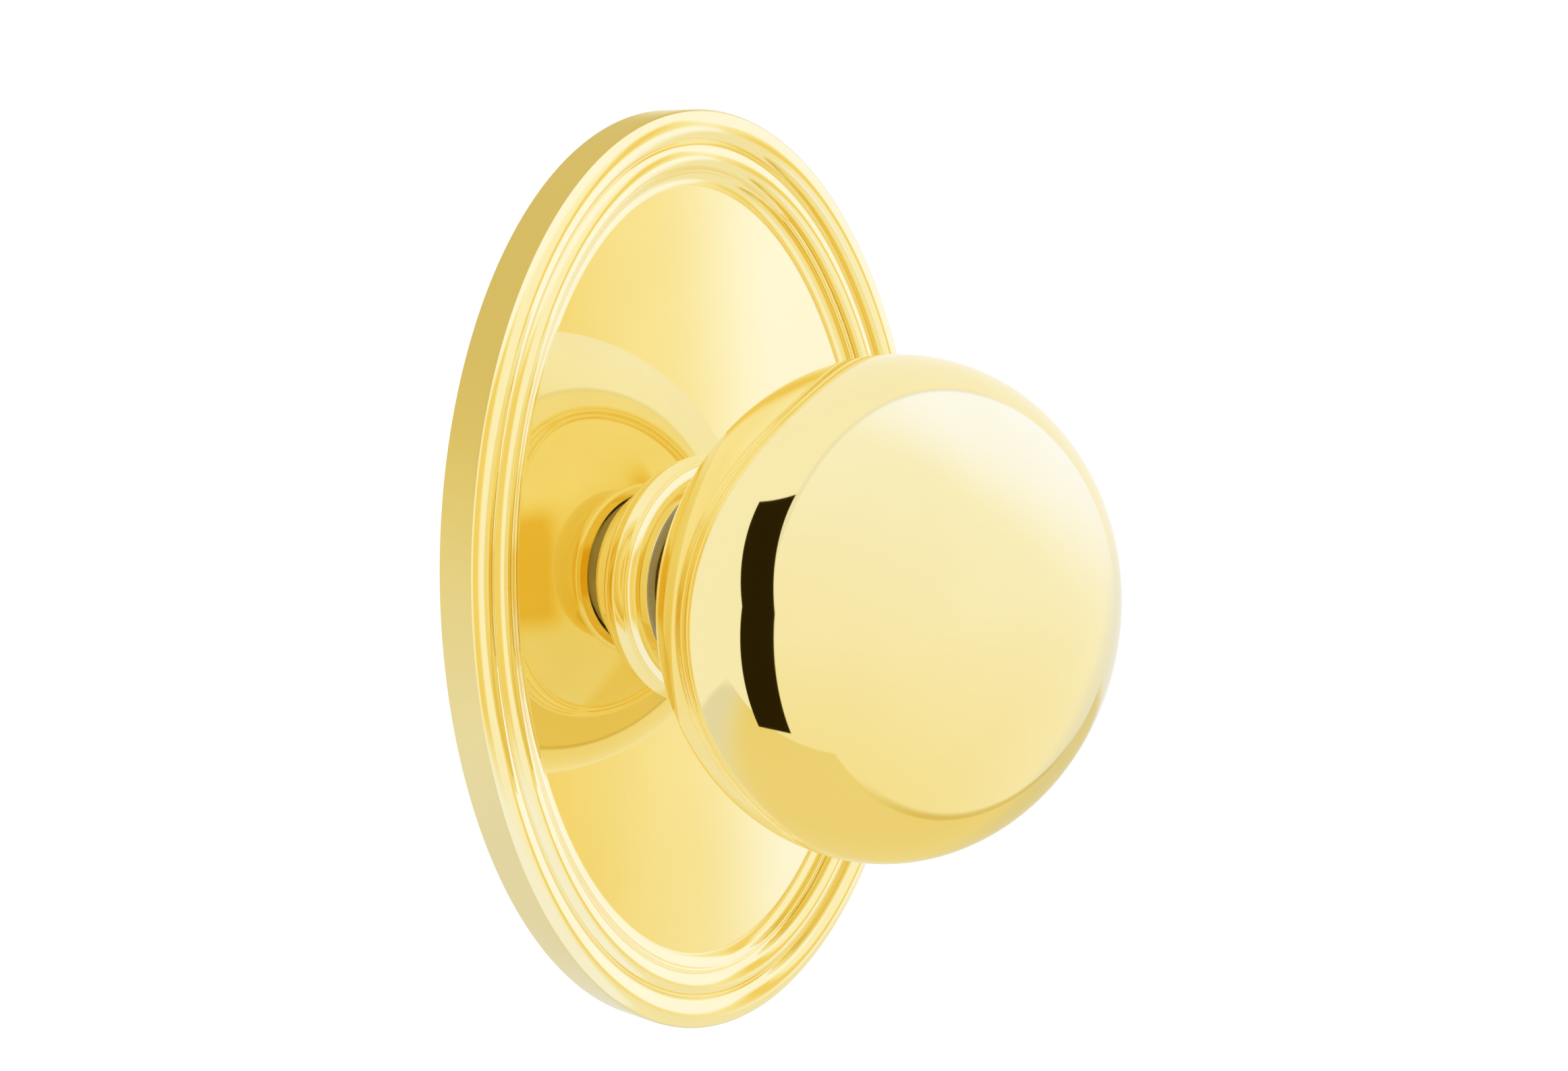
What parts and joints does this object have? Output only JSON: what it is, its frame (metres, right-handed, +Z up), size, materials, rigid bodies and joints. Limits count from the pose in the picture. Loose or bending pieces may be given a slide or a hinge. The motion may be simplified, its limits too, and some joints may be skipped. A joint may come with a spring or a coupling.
{
  "type": "door knob",
  "caption": "Round polished brass door knob on an oval moulded rosette, with a spring-return cassette, through-door posts and a square spindle.",
  "frame": {"origin": "point on the knob's axis in the plane of the door face", "axes": "+Y into the door, -Y out of the door through the knob, +Z up along the oval's long axis, +X to the right seen from the front"},
  "size_m": [0.076, 0.0857, 0.1118],
  "materials": {
    "polished_brass": "mirror polished and clear lacquered",
    "plain_brass": "plain unpolished brass",
    "plated_steel": "bright zinc plated",
    "screw_steel": "nickel plated",
    "spring_steel": "oiled spring steel",
    "zinc_alloy": "tumbled zinc die casting",
    "nylon": "natural nylon"
  },
  "bodies": {
    "rosette": {"rosette_plate": "polished_brass", "rosette_collar": "polished_brass", "neck_bush": "nylon", "mounting_plate": "plated_steel", "plate_screws": "screw_steel", "upper_post": "plated_steel", "lower_post": "plated_steel", "spring_housing": "zinc_alloy", "housing_screws": "screw_steel", "rear_bush": "nylon", "return_spring": "spring_steel"},
    "knob": {"knob_front_shell": "polished_brass", "knob_rear_shell": "polished_brass", "seam_ring": "plain_brass", "knob_core": "zinc_alloy", "lock_washer": "plated_steel", "shank_nut": "plated_steel", "knob_shank": "polished_brass", "thrust_washer": "nylon", "play_washer": "plated_steel", "retaining_ring": "spring_steel", "spindle": "plated_steel", "spindle_pin": "spring_steel", "drive_cam": "plated_steel"}
  },
  "joints": [
    {"name": "knob_turn", "type": "hinge", "parent": "rosette", "child": "knob", "pos_m": [0, 0, 0], "axis": [0, -1, 0], "range_deg": [-55, 55], "stiffness_Nm_per_rad": 0.2, "deforming": ["return_spring"]}
  ]
}
